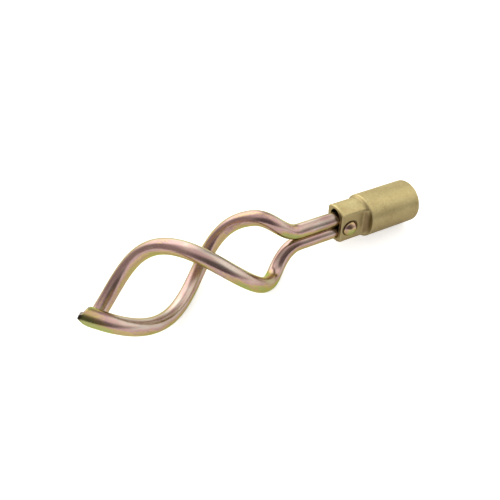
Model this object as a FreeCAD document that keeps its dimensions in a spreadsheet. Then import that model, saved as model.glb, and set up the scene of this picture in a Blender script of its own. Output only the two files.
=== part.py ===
"""Drill paint mixer: two bent steel rods riveted into a brass socket that screws onto the drill's shaft.

Millimetres. The origin is the centre of the socket's drive mouth. +X is the tool's axis and points out of
that mouth, towards the drill, so the rods run towards -X. +Z is the way the two rods are stacked in the
socket's slot, and the socket's flats face -Y and +Y.
"""
import FreeCAD, Part
import math
import os
import Sketcher

App = FreeCAD
Vec = App.Vector

# Driving dimensions: alias, millimetres or degrees, meaning
DIMENSIONS = [
    ("barrel_diameter", 23.8, "round part of the socket that holds the drive thread"),
    ("barrel_length", 31.0, "drive mouth to the top of the shoulder"),
    ("barrel_edge", 0.7, "chamfer round the drive mouth's rim"),
    ("shoulder_length", 1.4, "sloping step from the barrel down to the neck"),
    ("neck_diameter", 21.4, "round part of the socket that holds the rods"),
    ("neck_edge", 0.5, "chamfer round the neck's face"),
    ("socket_length", 46.9, "drive mouth to neck face"),
    ("across_flats", 13.2, "distance between the two milled flats"),
    ("cutter_radius", 3.0, "inside corner where a flat runs out into the barrel"),
    ("thread_crest_diameter", 11.8, "inside of an M14 x 2 female thread"),
    ("thread_depth", 23.0, "full thread, from the drive mouth"),
    ("thread_lead_in", 1.2, "chamfer at the start of the thread"),
    ("drill_point_angle", 118.0, "cone left by the drill at the bottom of the threaded hole"),
    ("rod_diameter", 8.0, "both rods"),
    ("slot_play", 0.2, "slot width beyond the rod's diameter"),
    ("slot_height", 18.2, "slot's overall height, with half-round ends"),
    ("slot_depth", 17.5, "neck face towards the drive mouth"),
    ("stack_drop", 0.95, "the pair of rods sits this far below the middle of the slot"),
    ("rod_gap", 0.04, "between the two rods where they lie side by side"),
    ("rivet_inset", 5.9, "neck face to the rivet's axis"),
    ("rivet_diameter", 5.0, "shank"),
    ("rivet_play", 0.04, "clearance round the shank"),
    ("head_diameter", 8.3, "each rivet head"),
    ("head_rim", 0.5, "straight edge of each head"),
    ("head_height", 2.6, "each head, flat to the top of the dome"),
    ("helix_radius", 17.6, "tool axis to rod centreline"),
    ("straight_run", 20.2, "neck face to where the rods begin to part"),
    ("flare_length", 25.7, "along the axis, first parting to full radius"),
    ("reach", 130.4, "neck face to the rods' far ends"),
    ("twist_start", 27.8, "neck face to where the twist begins"),
    ("twist_run_in", 23.3, "axial length over which the twist comes up to speed"),
    ("twist_angle", 311.4, "whole twist of the upper rod, in degrees"),
    ("twist_bias", 0.12, "share of the twist that comes early"),
    ("lower_rod_lead", 19.2, "the lower rod's extra twist, in degrees"),
    ("lead_run", 40.0, "axial length over which the lower rod gains its lead"),
    ("path_step", 6.0, "axial spacing of the points that shape a rod's centreline"),
    ("steep_bevel", 57.0, "one face of a rod's sheared end, in degrees from the rod's axis"),
    ("shallow_bevel", 25.0, "the other face of the sheared end, in degrees from the rod's axis"),
    ("shear_offset", 1.0, "line where the two faces would meet, to the rod's axis"),
    ("shear_land", 0.75, "how far the two faces would run on past the torn land that blunts their edge"),
]

# Share of the shorter of two runs that the arc between them takes up on each
ARC_SHARE = 0.45

doc = App.newDocument("drill_paint_mixer")
sheet = doc.addObject("Spreadsheet::Sheet", "sizes")
for row, (alias, size, meaning) in enumerate(DIMENSIONS, start=1):
    sheet.set(f"A{row}", meaning)
    sheet.set(f"B{row}", str(size))
    sheet.setAlias(f"B{row}", alias)
doc.recompute()


def value(formula):
    """The present size of an alias, or of a formula whose aliases are marked with $."""
    return float(sheet.evalExpression(formula.replace("$", "")))


def bind(thing, prop, formula):
    """Tie a property to the sheet."""
    thing.setExpression(prop, formula.replace("$", "sizes."))


# Sketches


def new_sketch(body, name, plane):
    """An empty sketch on one of the body's own origin planes."""
    sketch = body.newObject("Sketcher::SketchObject", name)
    origin_plane = [part for part in body.Origin.OriginFeatures if part.Role == plane][0]
    sketch.AttachmentSupport = [(origin_plane, "")]
    sketch.MapMode = "FlatFace"
    return sketch


def pin_point(sketch, edge, end, across, up):
    """Fix one end of an edge at two formulas: "0" is the sketch's own axis, and None leaves that way free."""
    for kind, formula, axis in (("DistanceX", across, -2), ("DistanceY", up, -1)):
        if formula == "0":
            sketch.addConstraint(Sketcher.Constraint("PointOnObject", edge, end, axis))
        elif formula is not None:
            index = sketch.addConstraint(Sketcher.Constraint(kind, -1, 1, edge, end, value(formula)))
            name = f"{kind}_{edge}_{end}"
            sketch.renameConstraint(index, name)
            bind(sketch, f"Constraints.{name}", formula)


def arc_between(start, end, centre):
    """The shorter arc, or for half a turn the one on the right of the way from start to end."""
    chord = end - start
    aim = (start + end) * 0.5 - centre
    if aim.Length < 1e-6:
        aim = Vec(chord.y, -chord.x, 0)
    return Part.ArcOfCircle(start, centre + aim.normalize() * (start - centre).Length, end)


def draw_outline(sketch, corners, arcs=None):
    """Close an outline through corners given as pairs of formulas.

    arcs maps the number of a corner to the centre of the arc that leaves it: two formulas, and which of the
    two is fixed, because the arc's ends settle the other.
    """
    arcs = arcs or {}
    first = sketch.GeometryCount
    count = len(corners)
    spots = [Vec(value(across), value(up), 0) for across, up in corners]
    ends = []
    for i, spot in enumerate(spots):
        following = spots[(i + 1) % count]
        if i in arcs:
            centre = Vec(value(arcs[i][0]), value(arcs[i][1]), 0)
            sketch.addGeometry(arc_between(spot, following, centre), False)
        else:
            sketch.addGeometry(Part.LineSegment(spot, following), False)
        forward = sketch.getPoint(first + i, 1).distanceToPoint(spot) < 1e-6
        ends.append((1, 2) if forward else (2, 1))
    for i, (across, up) in enumerate(corners):
        following = (i + 1) % count
        joint = (first + i, ends[i][1], first + following, ends[following][0])
        sketch.addConstraint(Sketcher.Constraint("Coincident", *joint))
        pin_point(sketch, first + i, ends[i][0], across, up)
    for i, (across, up, fixed) in arcs.items():
        pin_point(sketch, first + i, 3, across if fixed == "across" else None, up if fixed == "up" else None)


def revolve(body, kind, name, sketch, axis):
    feature = body.newObject(kind, name)
    feature.Profile = sketch
    feature.ReferenceAxis = (sketch, [axis])
    feature.Angle = 360
    doc.recompute()
    return feature


def pocket(body, name, sketch, depth, both_ways):
    """A pocket that must take material away."""
    before = body.Shape.Volume
    feature = body.newObject("PartDesign::Pocket", name)
    feature.Profile = sketch
    feature.Midplane = both_ways
    feature.Reversed = not both_ways
    bind(feature, "Length", depth)
    doc.recompute()
    if body.Shape.Volume > before - 1.0:
        raise RuntimeError(f"{name} cuts nothing")


# Socket: turned, drilled, then the flats, the rods' slot and the rivet's hole


def make_socket():
    body = doc.addObject("PartDesign::Body", "socket")
    body.Label = "socket"

    outline = new_sketch(body, "socket_outline", "XY_Plane")
    draw_outline(outline, [
        ("0", "0"),
        ("0", "$barrel_diameter / 2 - $barrel_edge"),
        ("-$barrel_edge", "$barrel_diameter / 2"),
        ("-$barrel_length", "$barrel_diameter / 2"),
        ("-$barrel_length - $shoulder_length", "$neck_diameter / 2"),
        ("$neck_edge - $socket_length", "$neck_diameter / 2"),
        ("-$socket_length", "$neck_diameter / 2 - $neck_edge"),
        ("-$socket_length", "0"),
    ])
    revolve(body, "PartDesign::Revolution", "turned_blank", outline, "H_Axis")
    blank_volume = body.Shape.Volume

    crest = "$thread_crest_diameter / 2"
    bore = new_sketch(body, "drive_hole_outline", "XY_Plane")
    draw_outline(bore, [
        ("0", "0"),
        ("0", f"{crest} + $thread_lead_in"),
        ("-$thread_lead_in", crest),
        ("-$thread_depth", crest),
        (f"-$thread_depth - {crest} / tan($drill_point_angle / 2 * 1deg)", "0"),
    ])
    revolve(body, "PartDesign::Groove", "drive_hole", bore, "H_Axis")
    if body.Shape.Volume > blank_volume - 1.0:
        raise RuntimeError("drive_hole cuts nothing")

    flats = new_sketch(body, "flats_outline", "XY_Plane")
    for sign in ("", "-"):
        flat = f"{sign}$across_flats / 2"
        arc_top = f"{sign}($across_flats / 2 + $cutter_radius)"
        outside = f"{sign}$barrel_diameter"
        arc_start = "-$barrel_length - $cutter_radius"
        past_neck = "-$socket_length - $rod_diameter"
        corners = [(past_neck, flat), (arc_start, flat), ("-$barrel_length", arc_top),
                   ("-$barrel_length", outside), (past_neck, outside)]
        draw_outline(flats, corners, {1: (arc_start, arc_top, "across")})
    pocket(body, "flats", flats, "2 * $barrel_diameter", True)

    slot = new_sketch(body, "slot_outline", "YZ_Plane")
    bind(slot, "AttachmentOffset.Base.z", "-$socket_length")
    wall = "($rod_diameter + $slot_play) / 2"
    end = f"($slot_height / 2 - {wall})"
    draw_outline(slot, [(wall, f"-{end}"), (wall, end), (f"-{wall}", end), (f"-{wall}", f"-{end}")],
                 {1: ("0", end, "up"), 3: ("0", f"-{end}", "up")})
    pocket(body, "rod_slot", slot, "$slot_depth", False)

    hole = new_sketch(body, "rivet_hole_outline", "XZ_Plane")
    hole.addGeometry(Part.Circle(Vec(0, 0, 0), Vec(0, 0, 1), value("rivet_diameter") / 2), False)
    pin_point(hole, 0, 3, "$rivet_inset - $socket_length", "-$stack_drop")
    size = hole.addConstraint(Sketcher.Constraint("Diameter", 0, value("rivet_diameter")))
    hole.renameConstraint(size, "hole_size")
    bind(hole, "Constraints.hole_size", "$rivet_diameter + 2 * $rivet_play")
    pocket(body, "rivet_hole", hole, "2 * $barrel_diameter", True)
    return body


# Rivet: a shank between two domed heads, turned about the sketch's upright axis


def make_rivet():
    body = doc.addObject("PartDesign::Body", "cross_rivet")
    body.Label = "cross_rivet"
    bind(body, "Placement.Base.x", "$rivet_inset - $socket_length")
    bind(body, "Placement.Base.z", "-$stack_drop")

    shank = "$rivet_diameter / 2"
    head = "$head_diameter / 2"
    flat = "$across_flats / 2"
    rim = "$across_flats / 2 + $head_rim"
    top = "$across_flats / 2 + $head_height"
    dome = "($head_height - $head_rim)"
    dome_radius = f"(({head}) ^ 2 + {dome} ^ 2) / (2 * {dome})"
    dome_centre = f"{top} - {dome_radius}"
    outline = new_sketch(body, "rivet_outline", "XY_Plane")
    corners = [("0", f"-({top})"), (head, f"-({rim})"), (head, f"-{flat}"), (shank, f"-{flat}"),
               (shank, flat), (head, flat), (head, rim), ("0", top)]
    arcs = {0: ("0", f"-({dome_centre})", "across"), 6: ("0", dome_centre, "across")}
    draw_outline(outline, corners, arcs)
    revolve(body, "PartDesign::Revolution", "turned_rivet", outline, "V_Axis")
    return body


# Rods


def ease(share):
    """Smooth step from 0 to 1, level at both ends."""
    share = min(max(share, 0.0), 1.0)
    return share ** 3 * (10 - 15 * share + 6 * share ** 2)


def twist_at(run):
    """Twist, in degrees, at a distance from the neck face."""
    run_in = value("twist_run_in")
    past = max(run - value("twist_start"), 0.0)
    travelled = past ** 2 / (2 * run_in) if past < run_in else past - run_in / 2
    share = travelled / (value("reach") - value("twist_start") - run_in / 2)
    return value("twist_angle") * (share + value("twist_bias") * share * (1 - share))


def centreline_point(run, side):
    """A point of a rod's centreline: side is +1 for the upper rod and -1 for the lower one."""
    stacked = (value("rod_diameter") + value("rod_gap")) / 2
    flared = ease((run - value("straight_run")) / value("flare_length"))
    radius = stacked + (value("helix_radius") - stacked) * flared
    angle = 90 - twist_at(run)
    if side < 0:
        angle -= value("lower_rod_lead") * ease((run - value("straight_run")) / value("lead_run"))
    across = side * radius * math.cos(math.radians(angle))
    up = side * radius * math.sin(math.radians(angle)) - value("stack_drop")
    return Vec(-value("socket_length") - run, across, up)


def rod_path(side):
    """The bends of a rod: straight runs between points of the centreline, joined by tangent arcs."""
    bend_count = math.ceil((value("reach") - value("straight_run")) / value("path_step"))
    step = (value("reach") - value("straight_run")) / bend_count
    runs = [-value("slot_depth")] + [value("straight_run") + i * step for i in range(bend_count + 1)]
    points = [centreline_point(run, side) for run in runs]
    edges = []
    start = points[0]
    for before, corner, after in zip(points, points[1:], points[2:]):
        back = before - corner
        ahead = after - corner
        half_turn = (math.pi - back.getAngle(ahead)) / 2
        setback = ARC_SHARE * min(back.Length, ahead.Length)
        back.normalize()
        ahead.normalize()
        radius = setback / math.tan(half_turn)
        bisector = (back + ahead).normalize()
        middle = corner + bisector * (radius / math.cos(half_turn) - radius)
        edges.append(Part.LineSegment(start, corner + back * setback).toShape())
        edges.append(Part.Arc(corner + back * setback, middle, corner + ahead * setback).toShape())
        start = corner + ahead * setback
    edges.append(Part.LineSegment(start, points[-1]).toShape())
    return Part.Wire(edges)


def waste_block(name, edge_point, face_way, face_normal):
    """The waste beyond one face of a sheared end: it passes through edge_point and runs along face_way."""
    block = doc.addObject("Part::Box", name)
    for side in ("Length", "Width", "Height"):
        bind(block, side, "4 * $rod_diameter")
    half = 2 * value("rod_diameter")
    level = face_normal.cross(face_way)
    corner = edge_point - (face_way + level) * half
    block.Placement = App.Placement(corner, App.Rotation(face_way, level, face_normal, "XZY"))
    return block


def shear_blocks(name, side):
    """The two faces of the sheared end, which would meet just past it on a line pointing off the axis."""
    tip = centreline_point(value("reach"), side)
    before = centreline_point(value("reach") - value("path_step"), side)
    along = (tip - before).normalize()
    outward = Vec(0, tip.y, tip.z + value("stack_drop"))
    beside = along.cross(outward).normalize()
    edge_point = tip + along * value("shear_land") - beside * value("shear_offset")
    blocks = []
    for label, angle, hand in (("steep", value("steep_bevel"), 1), ("shallow", value("shallow_bevel"), -1)):
        lean = math.radians(angle)
        face_way = beside * (hand * math.sin(lean)) - along * math.cos(lean)
        face_normal = along * math.sin(lean) + beside * (hand * math.cos(lean))
        blocks.append(waste_block(f"{name}_{label}_bevel", edge_point, face_way, face_normal))
    return blocks


def make_rod(name, side):
    wire = rod_path(side)
    path = doc.addObject("Part::Feature", name + "_centreline")
    path.Shape = wire

    section = doc.addObject("Part::Circle", name + "_section")
    bind(section, "Radius", "$rod_diameter / 2")
    start = centreline_point(-value("slot_depth"), side)
    section.Placement = App.Placement(start, App.Rotation(Vec(0, 0, 1), Vec(-1, 0, 0)))

    bar = doc.addObject("Part::Sweep", name + "_bar")
    bar.Sections = [section]
    bar.Spine = (path, [f"Edge{i + 1}" for i in range(len(wire.Edges))])
    bar.Solid = True
    bar.Frenet = False

    # the rivet passes between the rods and takes a groove out of each
    groove = doc.addObject("Part::Cylinder", name + "_groove")
    bind(groove, "Radius", "$rivet_diameter / 2 + $rivet_play")
    bind(groove, "Height", "2 * $rod_diameter")
    groove.Placement = App.Placement(Vec(0, value("rod_diameter"), 0), App.Rotation(Vec(1, 0, 0), 90))
    bind(groove, "Placement.Base.x", "$rivet_inset - $socket_length")
    bind(groove, "Placement.Base.z", "-$stack_drop")

    waste = doc.addObject("Part::MultiFuse", name + "_waste")
    waste.Shapes = [groove] + shear_blocks(name, side)
    rod = doc.addObject("Part::Cut", name)
    rod.Base = bar
    rod.Tool = waste
    rod.Label = name
    return rod, bar


# Build, check and write

socket = make_socket()
rivet = make_rivet()
upper_rod, upper_bar = make_rod("upper_rod", 1)
lower_rod, lower_bar = make_rod("lower_rod", -1)
doc.recompute()

for thing in doc.Objects:
    if "Invalid" in thing.State or "Error" in thing.State:
        raise RuntimeError(f"{thing.Label} failed: {thing.State}")

rod_section = math.pi * value("rod_diameter") ** 2 / 4
for rod, bar in ((upper_rod, upper_bar), (lower_rod, lower_bar)):
    expected = rod_section * bar.Spine[0].Shape.Length
    if abs(bar.Shape.Volume - expected) > 0.01 * expected:
        raise RuntimeError(f"{bar.Label} has the wrong volume")
    sheared = bar.Shape.Volume - rod.Shape.Volume
    print(f"{rod.Label}: {bar.Spine[0].Shape.Length:.1f} mm long, {sheared:.0f} mm3 cut away")

os.makedirs("parts", exist_ok=True)
for part in (socket, upper_rod, lower_rod, rivet):
    if part.Shape.isNull() or not part.Shape.isValid() or len(part.Shape.Solids) != 1:
        raise RuntimeError(f"{part.Label} is not one valid solid")
    part.Shape.exportStep(f"parts/{part.Label}.step")
    box = part.Shape.BoundBox
    size = f"{box.XLength:.1f} x {box.YLength:.1f} x {box.ZLength:.1f} mm"
    print(f"{part.Label}: {part.Shape.Volume:.0f} mm3, {size}")
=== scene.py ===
"""Drill paint mixer: the looks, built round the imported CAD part. Metres, in the part's own frame."""

import math

import bmesh
import bpy
import numpy as np
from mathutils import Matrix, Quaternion, Vector, kdtree, noise


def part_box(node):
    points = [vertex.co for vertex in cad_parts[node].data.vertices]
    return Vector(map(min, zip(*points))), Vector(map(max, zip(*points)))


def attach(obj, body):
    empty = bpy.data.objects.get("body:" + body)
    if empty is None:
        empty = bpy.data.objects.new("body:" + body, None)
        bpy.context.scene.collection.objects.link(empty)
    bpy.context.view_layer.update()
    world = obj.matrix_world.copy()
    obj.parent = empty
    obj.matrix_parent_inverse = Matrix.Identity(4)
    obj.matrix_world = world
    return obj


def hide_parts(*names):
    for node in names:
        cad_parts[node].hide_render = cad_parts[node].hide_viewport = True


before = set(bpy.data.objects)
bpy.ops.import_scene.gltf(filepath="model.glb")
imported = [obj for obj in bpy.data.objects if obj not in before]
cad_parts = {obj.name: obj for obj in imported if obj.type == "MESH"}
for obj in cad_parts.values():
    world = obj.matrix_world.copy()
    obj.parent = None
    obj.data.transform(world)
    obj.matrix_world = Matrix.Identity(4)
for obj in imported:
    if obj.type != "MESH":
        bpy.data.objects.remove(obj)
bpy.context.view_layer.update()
MM = 0.001

# Places and sizes read from the frame
SOCKET_LOW, SOCKET_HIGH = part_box("socket")
ROD_LOW, ROD_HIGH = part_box("upper_rod")
RIVET_LOW, RIVET_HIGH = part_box("cross_rivet")
NECK_FACE = SOCKET_LOW.x
BARREL_RADIUS = SOCKET_HIGH.y
HEAD_RADIUS = (RIVET_HIGH.x - RIVET_LOW.x) / 2
HEAD_HEIGHT = 2.6 * MM
HEAD_RIM = 0.5 * MM
SHANK_RADIUS = 2.5 * MM
RIVET_CENTRE = (RIVET_LOW + RIVET_HIGH) / 2
STACK_LEVEL = RIVET_CENTRE.z

# Rods: the route of the two bars, as in the CAD
ROD_RADIUS = 4.0 * MM
ROD_GAP = 0.04 * MM
SLOT_DEPTH = 17.5 * MM
STRAIGHT_RUN = 20.2 * MM
FLARE_LENGTH = 25.7 * MM
REACH = 130.4 * MM
TWIST_START = 27.8 * MM
TWIST_RUN_IN = 23.3 * MM
TWIST_ANGLE = 311.4
TWIST_BIAS = 0.12
LOWER_ROD_LEAD = 19.2
LEAD_RUN = 40.0 * MM
HELIX_RADIUS = (ROD_HIGH.y - ROD_LOW.y) / 2 - ROD_RADIUS
SHEAR_OFFSET = 1.0 * MM

# Outline of a rod's sheared end: forward of the end of the bar and above its torn lip, in millimetres
ABOVE_LIP = [
    (0.2, 0.55), (-1.4, 1.30), (-1.9, 3.0), (-2.4, 4.2), (-3.1, 4.8), (-4.4, 5.3),
    (-4.4, 8.0), (3.0, 8.0), (3.0, 0.55),
]
BELOW_LIP = [
    (-0.35, 0.9), (-0.35, -0.6), (-0.6, -0.95), (-2.7, -2.1), (-4.8, -2.75), (-7.5, -3.3),
    (-7.5, -6.0), (3.0, -6.0), (3.0, 0.9),
]
# Darker on the upper rod beside the slot, fading along the bar; bare metal at the torn lips
SLOT_DARKENING = 0.22
SLOT_DARKENING_FADE = (6.0 * MM, 17.0 * MM)
LIP_DARK = 1.0 * MM
LIP_BRIGHT = 2.6 * MM
RING_STEP = 0.5 * MM
RING_POINTS = 56
# Offset along the bar between the two rods' speckle, so that they don't match
SPECKLE_SHIFT = 0.5

# Drive thread, M14 x 2
THREAD_CREST = 5.9 * MM
THREAD_DEEP = 7.0 * MM
THREAD_PITCH = 2.0 * MM
THREAD_LENGTH = 23.0 * MM
THREAD_STEPS = 14
THREAD_OVERRUN = 0.4 * MM
DRILL_CLEARANCE = 0.02 * MM
DRILL_HALF_ANGLE = 59

# Socket's surface
NECK_RADIUS = 10.7 * MM
FLAT_LEVEL = 6.6 * MM
FLAT_EASE = 3.2 * MM
SET_WIDTH = 0.75 * MM
SET_DEPTH = 0.40 * MM
SOCKET_GRAIN = 0.24 * MM
SHOULDER = (-33.8 * MM, -30.8 * MM)
STAIN_PLACE = Vector((-44.0, -3.4, 10.1)) * MM
STAIN_REACH = 2.0 * MM
NEARLY_TOUCHING = 1e-6
TURNED_POINTS = 72

# The tool lies on the barrel's rim and on one bend of each rod
FLOOR_UP = Vector((-0.078, -0.133, 0.988)).normalized()

# Camera
CAMERA_PLACE = Vector((-0.1439, -0.1320, 0.1229))
CAMERA_AIM = Vector((-0.0960, 0.0014, 0.0))
CAMERA_ROLL = -5.3
CAMERA_LENS = 26.5
SENSOR_WIDTH = 36.0
NEAR_CLIP = 0.01

# Floor: its own glow as the camera sees it and as it lights the tool
FLOOR_LIFT = 0.60
FLOOR_GLOW = 0.27
FLOOR_HALF = 3.0

# The studio: the room's radiance, and soft panels of (azimuth, elevation, degrees off its middle where
# a panel starts and where it is full, radiance)
ROOM = (0.57, 0.54, 0.52)
PANELS = [
    (0, 90, 50, 15, (1.05, 1.00, 0.98)),
    (97, 32, 50, 18, (2.42, 2.42, 2.36)),
    (-8, 32, 44, 16, (1.40, 1.36, 1.30)),
    (-105, 22, 56, 10, (0.17, 0.155, 0.155)),
    (172, 15, 40, 15, (0.45, 0.40, 0.39)),
]


# Node helpers


def new_material(name):
    """A node material and its Principled shader."""
    material = bpy.data.materials.new(name)
    material.use_nodes = True
    return material, material.node_tree, material.node_tree.nodes["Principled BSDF"]


def add(tree, kind, **settings):
    """A node with its properties and, for names that are inputs, their values."""
    node = tree.nodes.new(kind)
    for key, setting in settings.items():
        if hasattr(node, key):
            setattr(node, key, setting)
        else:
            node.inputs[key.replace("_", " ")].default_value = setting
    return node


def link(tree, source, target):
    """Join an output to an input."""
    tree.links.new(source, target)


def attribute(tree, name, output="Fac"):
    """A number or a vector kept on the mesh."""
    return add(tree, "ShaderNodeAttribute", attribute_name=name).outputs[output]


def maths(tree, operation, first, second=None, third=None, clamp=False):
    """A Math node on sockets or numbers; returns its output."""
    node = tree.nodes.new("ShaderNodeMath")
    node.operation = operation
    node.use_clamp = clamp
    for socket, source in zip(node.inputs, (first, second, third)):
        if source is None:
            continue
        if isinstance(source, (int, float)):
            socket.default_value = source
        else:
            link(tree, source, socket)
    return node.outputs[0]


def step(tree, source, low, high, to_low=0.0, to_high=1.0):
    """A smooth step of a socket between two levels."""
    node = tree.nodes.new("ShaderNodeMapRange")
    node.interpolation_type = "SMOOTHSTEP"
    for name, number in (("From Min", low), ("From Max", high), ("To Min", to_low), ("To Max", to_high)):
        node.inputs[name].default_value = number
    link(tree, source, node.inputs["Value"])
    return node.outputs[0]


def blend_colours(tree, share, first, second, mode="MIX"):
    """A colour Mix node; share, first and second are sockets or values."""
    node = tree.nodes.new("ShaderNodeMix")
    node.data_type = "RGBA"
    node.blend_type = mode
    for socket, source in zip((node.inputs[0], node.inputs[6], node.inputs[7]), (share, first, second)):
        if isinstance(source, bpy.types.NodeSocket):
            link(tree, source, socket)
        else:
            socket.default_value = source if isinstance(source, (int, float)) else (*source, 1.0)
    return node.outputs[2]


def ramp(tree, source, stops):
    """A colour ramp through stops of (position, colour)."""
    node = tree.nodes.new("ShaderNodeValToRGB")
    node.color_ramp.interpolation = "EASE"
    elements = node.color_ramp.elements
    while len(elements) < len(stops):
        elements.new(0.5)
    for element, (position, colour) in zip(elements, stops):
        element.position = position
        element.color = (*colour, 1.0)
    link(tree, source, node.inputs[0])
    return node.outputs[0]


def speckle(tree, vector, scale, detail=3.0, roughness=0.55):
    """Noise on a vector socket."""
    node = add(tree, "ShaderNodeTexNoise", Scale=scale, Detail=detail, Roughness=roughness)
    link(tree, vector, node.inputs["Vector"])
    return node.outputs["Fac"]


def stretched(tree, vector, scale):
    """A vector socket scaled along its own axes."""
    node = tree.nodes.new("ShaderNodeVectorMath")
    node.operation = "MULTIPLY"
    node.inputs[1].default_value = scale
    link(tree, vector, node.inputs[0])
    return node.outputs[0]


def around_zero(tree, source, amount):
    """Noise about 0.5, centred on zero and scaled."""
    return maths(tree, "MULTIPLY", maths(tree, "SUBTRACT", source, 0.5), amount)


def bump(tree, shader, height, strength, distance):
    """Fine relief on a shader's normal."""
    node = add(tree, "ShaderNodeBump", Strength=strength, Distance=distance)
    link(tree, height, node.inputs["Height"])
    link(tree, node.outputs[0], shader.inputs["Normal"])


# Materials


# Colour of the yellow passive film, thin to thick
FILM_STOPS = [
    (0.00, (0.56, 0.48, 0.42)),
    (0.20, (0.53, 0.41, 0.35)),
    (0.38, (0.49, 0.32, 0.29)),
    (0.50, (0.45, 0.29, 0.29)),
    (0.62, (0.49, 0.34, 0.23)),
    (0.76, (0.48, 0.34, 0.18)),
    (0.88, (0.43, 0.35, 0.14)),
    (1.00, (0.36, 0.37, 0.14)),
]

# Patches of thicker film: distance from the neck face and reach in millimetres, extra thickness
FILM_PATCHES = {
    1: [(27.5, 6.0, 0.42), (130.4, 13.0, 0.72)],
    -1: [(42.5, 4.0, 0.36), (57.0, 9.0, 0.15)],
}


def plated_steel(name, gloss):
    """Zinc plate under a yellow passive film; the mesh's film attribute says how thick it is and carries a
    painted reflection tint set by which way each face turns.
    """
    material, tree, shader = new_material(name)
    bar = attribute(tree, "bar", "Vector")
    film_and_painted_tint = attribute(tree, "film_and_painted_tint")
    clouds = speckle(tree, stretched(tree, bar, (1.0, 1.0, 0.35)), 230.0, 2.0)
    runs = speckle(tree, stretched(tree, bar, (1.0, 1.0, 0.12)), 800.0, 3.0)
    grain = speckle(tree, stretched(tree, bar, (1.0, 1.0, 0.6)), 1500.0, 3.0)
    thick = maths(tree, "ADD", film_and_painted_tint, around_zero(tree, clouds, 1.2))
    thick = maths(tree, "ADD", thick, around_zero(tree, runs, 0.6))
    thick = maths(tree, "ADD", thick, around_zero(tree, grain, 0.7), clamp=True)
    colour = ramp(tree, thick, FILM_STOPS)
    streaks = maths(tree, "MULTIPLY_ADD", runs, 0.5, 0.42)
    shade = maths(tree, "ADD", streaks, maths(tree, "MULTIPLY", grain, 0.6))
    colour = blend_colours(tree, 1.0, colour, shade, "MULTIPLY")
    dirt = step(tree, grain, 0.62, 0.75, 0.0, 0.35)
    colour = blend_colours(tree, dirt, colour, (0.16, 0.12, 0.09))
    # Bare metal at the torn lips, and darker on the upper rod beside the slot
    colour = blend_colours(tree, attribute(tree, "bare_lip_and_slot_darkening"), colour, (0.07, 0.05, 0.045))
    link(tree, colour, shader.inputs["Base Color"])
    shader.inputs["Metallic"].default_value = 1.0
    shader.inputs["Specular Tint"].default_value = (0.78, 0.90, 0.42, 1.0)
    rough = maths(tree, "MULTIPLY_ADD", runs, 0.14, gloss - 0.07)
    link(tree, rough, shader.inputs["Roughness"])
    height = maths(tree, "MULTIPLY_ADD", grain, 0.25, runs)
    bump(tree, shader, height, 0.25, 0.03 * MM)
    return material


def torn_steel(name):
    """The sheared faces: dull, dark and dragged."""
    material, tree, shader = new_material(name)
    place = tree.nodes.new("ShaderNodeTexCoord").outputs["Object"]
    drag = speckle(tree, stretched(tree, place, (1.0, 0.3, 1.0)), 1800.0, 4.0)
    colour = ramp(tree, drag, [(0.3, (0.08, 0.06, 0.05)), (0.7, (0.22, 0.17, 0.11))])
    link(tree, colour, shader.inputs["Base Color"])
    shader.inputs["Metallic"].default_value = 1.0
    link(tree, maths(tree, "MULTIPLY_ADD", drag, 0.3, 0.30), shader.inputs["Roughness"])
    bump(tree, shader, drag, 0.5, 0.08 * MM)
    return material


def matt_brass(name):
    """Tumbled brass: a fine dull mottle, with painted shade in dark brown where the mesh's shade attribute
    says, and brighter on worn edges.
    """
    material, tree, shader = new_material(name)
    place = tree.nodes.new("ShaderNodeTexCoord").outputs["Object"]
    blotches = speckle(tree, place, 150.0, 3.0)
    mottle = speckle(tree, place, 1000.0, 4.0, 0.62)
    pits = speckle(tree, place, 3000.0, 2.0)
    worn = attribute(tree, "worn")
    painted_shade = attribute(tree, "painted_shade")
    stain = attribute(tree, "stain")
    tone = maths(tree, "MULTIPLY_ADD", blotches, 0.4, maths(tree, "MULTIPLY", mottle, 0.6))
    colour = ramp(tree, tone, [
        (0.32, (0.40, 0.315, 0.15)),
        (0.50, (0.515, 0.43, 0.21)),
        (0.68, (0.61, 0.53, 0.28)),
    ])
    # Painted shade: dark brown in concave hollows, on the shoulder's step, round the rivet heads and on the
    # underside
    colour = blend_colours(tree, maths(tree, "MULTIPLY", painted_shade, 0.85), colour, (0.15, 0.095, 0.05))
    colour = blend_colours(tree, maths(tree, "MULTIPLY", worn, 0.65), colour, (0.80, 0.72, 0.48))
    flecks = maths(tree, "MULTIPLY", step(tree, mottle, 0.50, 0.62), stain)
    colour = blend_colours(tree, maths(tree, "MULTIPLY", flecks, 0.7), colour, (0.42, 0.17, 0.09))
    link(tree, colour, shader.inputs["Base Color"])
    shader.inputs["Metallic"].default_value = 1.0
    shader.inputs["Specular Tint"].default_value = (0.72, 0.69, 0.60, 1.0)
    rough = maths(tree, "MULTIPLY_ADD", mottle, 0.16, 0.34)
    link(tree, rough, shader.inputs["Roughness"])
    height = maths(tree, "MULTIPLY_ADD", pits, 0.4, mottle)
    bump(tree, shader, height, 0.45, 0.06 * MM)
    return material


def pale_floor(name):
    """Matt white paper, lifted towards white for the camera's rays, so that only soft shadows show."""
    material, tree, shader = new_material(name)
    shader.inputs["Base Color"].default_value = (0.86, 0.86, 0.86, 1.0)
    shader.inputs["Roughness"].default_value = 0.9
    shader.inputs["Emission Color"].default_value = (1.0, 1.0, 1.0, 1.0)
    seen = tree.nodes.new("ShaderNodeLightPath").outputs["Is Camera Ray"]
    glow = maths(tree, "MULTIPLY_ADD", seen, FLOOR_LIFT - FLOOR_GLOW, FLOOR_GLOW)
    link(tree, glow, shader.inputs["Emission Strength"])
    return material


# Mesh helpers


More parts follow.
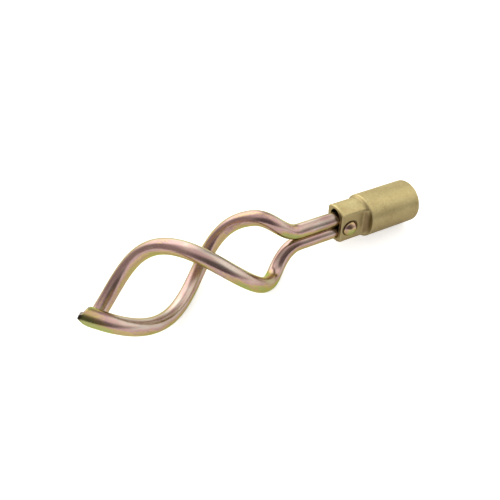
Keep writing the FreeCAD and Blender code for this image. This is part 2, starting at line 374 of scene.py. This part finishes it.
def piece_from(name, points, faces, material, smooth=True):
    """An object in the scene from its points and faces."""
    mesh = bpy.data.meshes.new(name)
    mesh.from_pydata([tuple(p) for p in points], [], faces)
    mesh.validate()
    mesh.update()
    mesh.polygons.foreach_set("use_smooth", [smooth] * len(mesh.polygons))
    if material:
        mesh.materials.append(material)
    piece = bpy.data.objects.new(name, mesh)
    bpy.context.scene.collection.objects.link(piece)
    return piece


def apply_modifiers(piece):
    """Make what the modifiers show the piece's own mesh."""
    bpy.context.view_layer.update()
    shown = piece.evaluated_get(bpy.context.evaluated_depsgraph_get())
    made = bpy.data.meshes.new_from_object(shown)
    piece.modifiers.clear()
    piece.data = made
    return piece


def vertex_places(mesh):
    """Every vertex's place, one row each."""
    places = np.zeros(len(mesh.vertices) * 3)
    mesh.vertices.foreach_get("co", places)
    return places.reshape(-1, 3)


def vertex_normals(mesh):
    """Every vertex's normal, one row each."""
    normals = np.zeros(len(mesh.vertices) * 3)
    mesh.vertex_normals.foreach_get("vector", normals)
    return normals.reshape(-1, 3)


def store(mesh, name, values):
    """Keep a number or a vector per vertex for the material."""
    values = np.asarray(values, np.float32)
    kind, field = ("FLOAT_VECTOR", "vector") if values.ndim == 2 else ("FLOAT", "value")
    attribute = mesh.attributes.new(name, kind, "POINT")
    attribute.data.foreach_set(field, values.ravel())


def smooth_step(values, low, high):
    """0 below low, 1 above high and a smooth rise between."""
    share = np.clip((np.asarray(values, float) - low) / (high - low), 0, 1)
    return share * share * (3 - 2 * share)


# Rods


def ease(share):
    """A rise from 0 to 1 with no jump in slope or bend."""
    share = np.clip(share, 0, 1)
    return share ** 3 * (10 - 15 * share + 6 * share ** 2)


def twist_at(run):
    """Degrees that the strands have turned at distances from the neck face."""
    past = np.maximum(run - TWIST_START, 0)
    travelled = np.where(past < TWIST_RUN_IN, past ** 2 / (2 * TWIST_RUN_IN), past - TWIST_RUN_IN / 2)
    share = travelled / (REACH - TWIST_START - TWIST_RUN_IN / 2)
    return TWIST_ANGLE * (share + TWIST_BIAS * share * (1 - share))


def centreline(run, side):
    """Points of a rod's centreline at distances from the neck face; side is +1 for the upper rod."""
    run = np.asarray(run, float)
    stacked = ROD_RADIUS + ROD_GAP / 2
    radius = stacked + (HELIX_RADIUS - stacked) * ease((run - STRAIGHT_RUN) / FLARE_LENGTH)
    angle = 90 - twist_at(run)
    if side < 0:
        angle = angle - LOWER_ROD_LEAD * ease((run - STRAIGHT_RUN) / LEAD_RUN)
    angle = np.radians(angle)
    across = side * radius * np.cos(angle)
    up = side * radius * np.sin(angle) + STACK_LEVEL
    return np.stack([NECK_FACE - run, across, up], axis=-1)


def ring_frames(points):
    """Two crosswise directions along a centreline, carried along it without twisting."""
    along = np.gradient(points, axis=0)
    along /= np.linalg.norm(along, axis=1)[:, None]
    first = np.zeros_like(along)
    first[0] = (0, 0, 1)
    for i in range(1, len(points)):
        carried = first[i - 1] - along[i] * (first[i - 1] @ along[i])
        first[i] = carried / np.linalg.norm(carried)
    return first, np.cross(along, first)


def make_rod(name, side, material, torn):
    """One bent bar with its sheared end, from its foot in the slot to the far end."""
    count = int((REACH + SLOT_DEPTH) / RING_STEP)
    run = np.linspace(-SLOT_DEPTH, REACH, count)
    points = centreline(run, side)
    first, second = ring_frames(points)
    turn = np.linspace(0, 2 * np.pi, RING_POINTS, endpoint=False)
    normals = first[:, None] * np.cos(turn)[None, :, None] + second[:, None] * np.sin(turn)[None, :, None]
    shell = points[:, None] + normals * ROD_RADIUS
    faces = []
    for i in range(count - 1):
        for k in range(RING_POINTS):
            following = (k + 1) % RING_POINTS
            low, high = i * RING_POINTS, (i + 1) * RING_POINTS
            faces.append((low + k, low + following, high + following, high + k))
    faces.append(tuple(reversed(range(RING_POINTS))))
    faces.append(tuple((count - 1) * RING_POINTS + k for k in range(RING_POINTS)))
    piece = piece_from(name, shell.reshape(-1, 3), faces, material)
    piece.data.materials.append(torn)
    length = np.concatenate([[0], np.cumsum(np.linalg.norm(np.diff(points, axis=0), axis=1))])
    bar = np.stack([
        np.tile(ROD_RADIUS * np.cos(turn), count),
        np.tile(ROD_RADIUS * np.sin(turn), count),
        np.repeat(length, RING_POINTS) + (SPECKLE_SHIFT if side > 0 else 0.0),
    ], axis=-1)
    ring_run = np.repeat(run, RING_POINTS)
    film_and_painted_tint = film_with_painted_tint(normals.reshape(-1, 3), ring_run, side)
    shear(piece, side)
    mesh = piece.data
    nearest = nearest_of(shell.reshape(-1, 3), vertex_places(mesh))
    store(mesh, "bar", bar[nearest])
    store(mesh, "film_and_painted_tint", film_and_painted_tint[nearest])
    forward, above, _ = tip_frame(side)
    tip = centreline(REACH, side)
    off = vertex_places(mesh) - tip
    from_lip = np.hypot(off @ np.array(forward), off @ np.array(above) + SHEAR_OFFSET)
    # Darker on the upper rod beside the slot, fading out along the bar
    slot_darkening = SLOT_DARKENING * (1 - smooth_step(ring_run[nearest], *SLOT_DARKENING_FADE)) * (side > 0)
    store(mesh, "bare_lip_and_slot_darkening", np.maximum(slot_darkening, 1 - smooth_step(from_lip, LIP_DARK, LIP_BRIGHT)))
    return piece


def nearest_of(originals, places):
    """For each place, the number of the nearest original."""
    tree = kdtree.KDTree(len(originals))
    for number, spot in enumerate(originals):
        tree.insert(spot, number)
    tree.balance()
    return np.array([tree.find(spot)[1] for spot in places])


def film_with_painted_tint(facing, run, side):
    """The passive film, 0 to 1: thin and tan on top, with a painted reflection tint that makes it rosier on
    faces turned to -X and thick and yellow on faces turned down or to +Y; thicker also in the patches.
    """
    upward = facing @ np.array(FLOOR_UP)
    # Painted reflection tint: thicker, so rosier, film on faces turned to -X
    film_and_painted_tint = 0.14 + 0.32 * smooth_step(-facing[:, 0], -0.35, 0.45)
    # Painted reflection tint: thick, yellow film on faces turned down in the resting pose or turned to +Y
    painted_reflection_tint = np.maximum(1 - smooth_step(upward, 0.10, 0.45), smooth_step(facing[:, 1], 0.25, 0.60))
    film_and_painted_tint = film_and_painted_tint + (0.74 - film_and_painted_tint) * painted_reflection_tint
    for place, reach, extra in FILM_PATCHES[side]:
        film_and_painted_tint = film_and_painted_tint + extra * (1 - smooth_step(np.abs(run - place * MM), 0.3 * reach * MM, reach * MM))
    return film_and_painted_tint


def tip_frame(side):
    """At a rod's far end: along the bar, the way its face is tilted, and away from the tool's axis."""
    tip = Vector(centreline(REACH, side))
    along = (tip - Vector(centreline(REACH - 6 * MM, side))).normalized()
    above = along.cross(Vector((0, tip.y, tip.z - STACK_LEVEL))).normalized()
    return along, above, along.cross(above)


def shear(piece, side):
    """Crop the far end to a blunt wedge with a torn lip."""
    along, above, outward = tip_frame(side)
    lip = Vector(centreline(REACH, side)) - above * SHEAR_OFFSET
    for outline in (ABOVE_LIP, BELOW_LIP):
        count = len(outline)
        points = []
        for across in (-2 * ROD_RADIUS, 2 * ROD_RADIUS):
            points += [lip + along * (x * MM) + above * (z * MM) + outward * across for x, z in outline]
        walls = [(k, (k + 1) % count, (k + 1) % count + count, k + count) for k in range(count)]
        ends = [tuple(reversed(range(count))), tuple(range(count, 2 * count))]
        cutter = piece_from("waste", points, walls + ends, None, smooth=False)
        outward_faces(cutter)
        cutter.data.materials.append(piece.data.materials[1])
        crop = piece.modifiers.new("crop", "BOOLEAN")
        crop.operation = "DIFFERENCE"
        crop.solver = "EXACT"
        crop.material_mode = "TRANSFER"
        crop.object = cutter
        apply_modifiers(piece)
        bpy.data.objects.remove(cutter)


# Socket


def thread_cutter():
    """What tap and drill took out: a bar with the thread's ridges, a lead-in and the drill's point."""
    turns = 96
    places = np.arange(-THREAD_LENGTH, THREAD_OVERRUN, THREAD_PITCH / THREAD_STEPS)
    turn = np.linspace(0, 2 * np.pi, turns, endpoint=False)
    along, around = np.meshgrid(places, turn, indexing="ij")
    phase = (along / THREAD_PITCH - around / (2 * np.pi)) % 1.0
    ridge = np.clip(1.45 - np.abs(phase - 0.5) * 3.2, 0, 1)
    ridge = ridge * smooth_step(along, places[0], places[0] + THREAD_PITCH)
    radius = THREAD_CREST + DRILL_CLEARANCE + (THREAD_DEEP - THREAD_CREST) * ridge
    radius = np.maximum(radius, THREAD_DEEP + 0.1 * MM + np.minimum(along, THREAD_OVERRUN))
    points = np.stack([along, radius * np.cos(around), radius * np.sin(around)], axis=-1).reshape(-1, 3)
    depth = THREAD_CREST / math.tan(math.radians(DRILL_HALF_ANGLE))
    points = np.vstack([points, [(places[0] - depth, 0, 0)], [(places[-1], 0, 0)]])
    faces = []
    rings = len(places)
    for k in range(turns):
        following = (k + 1) % turns
        for i in range(rings - 1):
            low, high = i * turns, (i + 1) * turns
            faces.append((low + k, low + following, high + following, high + k))
        faces.append((rings * turns, following, k))
        faces.append((rings * turns + 1, (rings - 1) * turns + k, (rings - 1) * turns + following))
    return piece_from("thread_cutter", points, faces, None)


def ring_cutter(side):
    """The ring that the rivet set pressed into a flat."""
    outline = [(HEAD_RADIUS - 0.5 * MM, FLAT_LEVEL + MM), (HEAD_RADIUS - 0.5 * MM, FLAT_LEVEL - 0.1 * MM)]
    outline += [(HEAD_RADIUS, FLAT_LEVEL - SET_DEPTH), (HEAD_RADIUS + 0.35 * MM, FLAT_LEVEL - SET_DEPTH)]
    outline += [(HEAD_RADIUS + SET_WIDTH, FLAT_LEVEL), (HEAD_RADIUS + SET_WIDTH, FLAT_LEVEL + MM)]
    count = len(outline)
    points, faces = [], []
    for k in range(TURNED_POINTS):
        turn = 2 * math.pi * k / TURNED_POINTS
        for radius, level in outline:
            x, z = RIVET_CENTRE.x + radius * math.cos(turn), RIVET_CENTRE.z + radius * math.sin(turn)
            points.append((x, side * level, z))
        here, following = k * count, (k + 1) % TURNED_POINTS * count
        for j in range(count):
            beside = (j + 1) % count
            faces.append((here + j, following + j, following + beside, here + beside))
    cutter = piece_from("set_ring", points, faces, None)
    outward_faces(cutter)
    return cutter


def outward_faces(piece):
    """Turn every face of a closed piece to face outward."""
    soup = bmesh.new()
    soup.from_mesh(piece.data)
    bmesh.ops.recalc_face_normals(soup, faces=soup.faces)
    soup.to_mesh(piece.data)
    soup.free()


def bending(mesh, rounds):
    """How sharply the surface bends at each vertex, positive on edges; and the averaging that it uses."""
    places, normals = vertex_places(mesh), vertex_normals(mesh)
    ends = np.zeros(len(mesh.edges) * 2, int)
    mesh.edges.foreach_get("vertices", ends)
    first, second = ends[::2], ends[1::2]
    count = np.maximum(np.bincount(ends, minlength=len(places)), 1)

    def mean_of_neighbours(values):
        """The mean of a value over the vertices that share an edge with each one."""
        total = np.zeros_like(values)
        np.add.at(total, first, values[second])
        np.add.at(total, second, values[first])
        return total / (count if values.ndim == 1 else count[:, None])

    bend = -((mean_of_neighbours(places) - places) * normals).sum(1) / SOCKET_GRAIN
    for _ in range(rounds):
        bend = mean_of_neighbours(bend) * 0.6 + bend * 0.4
    return bend, mean_of_neighbours


def ease_flats(piece):
    """Round the long edges where the flats meet the neck."""
    places = vertex_places(piece.data)
    corner = math.sqrt(NECK_RADIUS ** 2 - FLAT_LEVEL ** 2)
    off = np.hypot(np.abs(places[:, 1]) - FLAT_LEVEL, np.abs(places[:, 2]) - corner)
    weight = 1 - smooth_step(off, 1.2 * MM, FLAT_EASE)
    weight *= smooth_step(places[:, 0], NECK_FACE + 0.6 * MM, NECK_FACE + 2.4 * MM)
    weight *= 1 - smooth_step(places[:, 0], SHOULDER[0] - 0.2 * MM, SHOULDER[0] + 1.4 * MM)
    group = piece.vertex_groups.new(name="flat_edges")
    for number in np.nonzero(weight > 0.02)[0]:
        group.add([int(number)], float(weight[number]), "REPLACE")
    ease_edges = piece.modifiers.new("ease_edges", "SMOOTH")
    ease_edges.factor = 0.5
    ease_edges.iterations = 90
    ease_edges.vertex_group = "flat_edges"
    apply_modifiers(piece)


def socket_wear_and_shade(mesh):
    """Keep on the mesh where the brass is worn, where it gets painted shade in brown, and where it is
    stained.
    """
    bend, spread = bending(mesh, 2)
    worn = smooth_step(bend, 0.05, 0.16)
    # Painted shade in concave hollows, spread a little to neighbours
    painted_shade = smooth_step(-bend, 0.03, 0.10)
    for _ in range(6):
        painted_shade = np.maximum(painted_shade * 0.96, spread(painted_shade))
    places = vertex_places(mesh)
    # Painted shade on the shoulder's step face and along its edge
    inward = BARREL_RADIUS - np.hypot(places[:, 1], places[:, 2])
    before_barrel = places[:, 0] < SHOULDER[1]
    within = smooth_step(places[:, 0], SHOULDER[0], SHOULDER[0] + 1.2 * MM) * before_barrel
    step_face = 0.95 * smooth_step(inward, 0.02 * MM, 3.0 * MM) * within
    slope = smooth_step(places[:, 0], SHOULDER[0] + 0.8 * MM, SHOULDER[0] + 1.5 * MM) * before_barrel
    step_edge = 0.5 * slope * smooth_step(inward, 0.1 * MM, 0.4 * MM)
    # Painted shadow in a ring round each rivet head on the flats
    from_rivet = np.hypot(places[:, 0] - RIVET_CENTRE.x, places[:, 2] - RIVET_CENTRE.z) - HEAD_RADIUS
    on_flat = np.abs(np.abs(places[:, 1]) - FLAT_LEVEL) < SET_DEPTH + 0.2 * MM
    set_ring = 1.15 * on_flat * (1 - smooth_step(from_rivet, 0.4 * SET_WIDTH, 1.2 * SET_WIDTH))
    # Painted shade on faces turned down from FLOOR_UP, the underside in the resting pose
    underside = 0.52 * (1 - smooth_step(vertex_normals(mesh) @ np.array(FLOOR_UP), 0.1, 0.85))
    for shade_part in (step_face, step_edge, set_ring, underside):
        painted_shade = np.maximum(painted_shade, shade_part)
    from_stain = np.linalg.norm(places - np.array(STAIN_PLACE), axis=1)
    store(mesh, "worn", worn)
    store(mesh, "painted_shade", painted_shade)
    store(mesh, "stain", 1 - smooth_step(from_stain, 0.3 * STAIN_REACH, STAIN_REACH))


def make_socket(name, material):
    """The socket with softened edges and a real thread, from the CAD node's own shape."""
    piece = bpy.data.objects.new(name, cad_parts["socket"].data.copy())
    bpy.context.scene.collection.objects.link(piece)
    soup = bmesh.new()
    soup.from_mesh(piece.data)
    bmesh.ops.remove_doubles(soup, verts=soup.verts, dist=NEARLY_TOUCHING)
    soup.to_mesh(piece.data)
    soup.free()
    cutters = [thread_cutter(), ring_cutter(1), ring_cutter(-1)]
    for cutter in cutters:
        cut = piece.modifiers.new("cut", "BOOLEAN")
        cut.operation = "DIFFERENCE"
        cut.solver = "EXACT"
        cut.object = cutter
    skin = piece.modifiers.new("skin", "REMESH")
    skin.mode = "VOXEL"
    skin.voxel_size = SOCKET_GRAIN
    soften = piece.modifiers.new("soften", "SMOOTH")
    soften.factor = 0.5
    soften.iterations = 6
    apply_modifiers(piece)
    for cutter in cutters:
        bpy.data.objects.remove(cutter)
    ease_flats(piece)
    mesh = piece.data
    mesh.polygons.foreach_set("use_smooth", [True] * len(mesh.polygons))
    mesh.materials.clear()
    mesh.materials.append(material)
    socket_wear_and_shade(mesh)
    return piece


# Rivet


def make_rivet(name, material):
    """A shank and two closed heads, a little uneven from the hammer."""
    half = RIVET_HIGH.y
    face = half - HEAD_HEIGHT
    profile = [(0.0, half)]
    dome = HEAD_HEIGHT - HEAD_RIM
    dome_radius = (HEAD_RADIUS ** 2 + dome ** 2) / (2 * dome)
    for angle in np.linspace(0, math.asin(HEAD_RADIUS / dome_radius), 16)[1:]:
        profile.append((dome_radius * math.sin(angle), half - dome_radius * (1 - math.cos(angle))))
    rim = profile[-1][1]
    profile[-1] = (HEAD_RADIUS - 0.10 * MM, rim + 0.03 * MM)
    profile += [(HEAD_RADIUS - 0.01 * MM, rim - 0.10 * MM), (HEAD_RADIUS, rim - 0.22 * MM)]
    profile += [(HEAD_RADIUS - 0.06 * MM, face + 0.10 * MM), (HEAD_RADIUS - 0.18 * MM, face)]
    profile += [(SHANK_RADIUS, face)]
    profile += [(radius, -level) for radius, level in reversed(profile)]
    turns = TURNED_POINTS
    turn = np.linspace(0, 2 * np.pi, turns, endpoint=False)
    points = [(0.0, profile[0][1], 0.0)]
    for radius, level in profile[1:-1]:
        points += [(radius * math.cos(a), level, radius * math.sin(a)) for a in turn]
    points.append((0.0, profile[-1][1], 0.0))
    faces = []
    last = len(points) - 1
    for k in range(turns):
        following = (k + 1) % turns
        faces.append((0, 1 + following, 1 + k))
        faces.append((last, last - turns + k, last - turns + following))
        for i in range(len(profile) - 3):
            low, high = 1 + i * turns, 1 + (i + 1) * turns
            faces.append((low + k, low + following, high + following, high + k))
    uneven = []
    for point in points:
        spot = Vector(point)
        if abs(spot.y) > face + 0.3 * MM:
            spot -= spot.normalized() * (0.06 * MM) * (0.5 + 0.5 * noise.noise(spot * 900.0))
        uneven.append(spot + Vector((RIVET_CENTRE.x, 0, RIVET_CENTRE.z)))
    piece = piece_from(name, uneven, faces, material)
    mesh = piece.data
    places = vertex_places(mesh)
    store(mesh, "bar", places)
    # Painted reflection tint: thick, yellow film low on the heads, thinner and pinker high on them
    store(mesh, "film_and_painted_tint", 0.98 - 0.45 * smooth_step(places[:, 2] - RIVET_CENTRE.z, -0.2 * MM, 2.0 * MM))
    return piece


# Stage


def make_floor(pieces):
    """A floor that touches the tool's lowest points."""
    lowest = min(float((vertex_places(p.data) @ np.array(FLOOR_UP)).min()) for p in pieces)
    half = FLOOR_HALF
    corners = [(-half, -half, 0), (half, -half, 0), (half, half, 0), (-half, half, 0)]
    floor = piece_from("floor", corners, [(0, 1, 2, 3)], pale_floor("floor_paint"), smooth=False)
    floor.rotation_mode = "QUATERNION"
    floor.rotation_quaternion = Vector((0, 0, 1)).rotation_difference(FLOOR_UP)
    floor.location = FLOOR_UP * lowest


def make_camera():
    """The photograph's view."""
    data = bpy.data.cameras.new("camera")
    camera = bpy.data.objects.new("camera", data)
    bpy.context.scene.collection.objects.link(camera)
    data.lens = CAMERA_LENS
    data.sensor_width = SENSOR_WIDTH
    data.clip_start = NEAR_CLIP
    camera.location = CAMERA_PLACE
    camera.rotation_mode = "QUATERNION"
    level = (CAMERA_AIM - CAMERA_PLACE).to_track_quat("-Z", "Y")
    camera.rotation_quaternion = level @ Quaternion((0, 0, 1), math.radians(CAMERA_ROLL))
    bpy.context.scene.camera = camera


def studio_direction(azimuth, elevation):
    """A direction over the floor: azimuth from the tool's +X axis towards +Y."""
    ahead = (Vector((1, 0, 0)) - FLOOR_UP * FLOOR_UP.x).normalized()
    left = FLOOR_UP.cross(ahead)
    a, e = math.radians(azimuth), math.radians(elevation)
    return ahead * math.cos(a) * math.cos(e) + left * math.sin(a) * math.cos(e) + FLOOR_UP * math.sin(e)


def make_world():
    """The room and its panels light the tool; the camera sees plain white behind it."""
    world = bpy.data.worlds.new("studio")
    bpy.context.scene.world = world
    world.use_nodes = True
    tree = world.node_tree
    background = tree.nodes["Background"]
    way = tree.nodes.new("ShaderNodeTexCoord").outputs["Generated"]
    colour = ROOM
    for azimuth, elevation, starts, full, radiance in PANELS:
        dot = tree.nodes.new("ShaderNodeVectorMath")
        dot.operation = "DOT_PRODUCT"
        dot.inputs[1].default_value = studio_direction(azimuth, elevation)
        link(tree, way, dot.inputs[0])
        share = step(tree, dot.outputs["Value"], math.cos(math.radians(starts)), math.cos(math.radians(full)))
        colour = blend_colours(tree, share, colour, radiance)
    link(tree, colour, background.inputs["Color"])
    background.inputs["Strength"].default_value = 1.0
    backdrop = add(tree, "ShaderNodeBackground", Color=(1.0, 1.0, 1.0, 1.0))
    seen = tree.nodes.new("ShaderNodeLightPath").outputs["Is Camera Ray"]
    pick = tree.nodes.new("ShaderNodeMixShader")
    link(tree, seen, pick.inputs[0])
    link(tree, background.outputs[0], pick.inputs[1])
    link(tree, backdrop.outputs[0], pick.inputs[2])
    link(tree, pick.outputs[0], tree.nodes["World Output"].inputs["Surface"])


# Build


def place_piece(piece, node):
    """Let a piece stand for its CAD node."""
    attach(piece, "root")
    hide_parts(node)
    return piece


rod_steel = plated_steel("rod_chromate", 0.22)
rivet_steel = plated_steel("rivet_chromate", 0.16)
torn = torn_steel("torn_steel")
shown = [
    place_piece(make_rod("upper_rod_bar", 1, rod_steel, torn), "upper_rod"),
    place_piece(make_rod("lower_rod_bar", -1, rod_steel, torn), "lower_rod"),
    place_piece(make_socket("socket_casting", matt_brass("socket_brass_matt")), "socket"),
    place_piece(make_rivet("rivet_heads", rivet_steel), "cross_rivet"),
]

make_floor(shown)
make_camera()
make_world()
bpy.context.scene.view_settings.view_transform = "Standard"
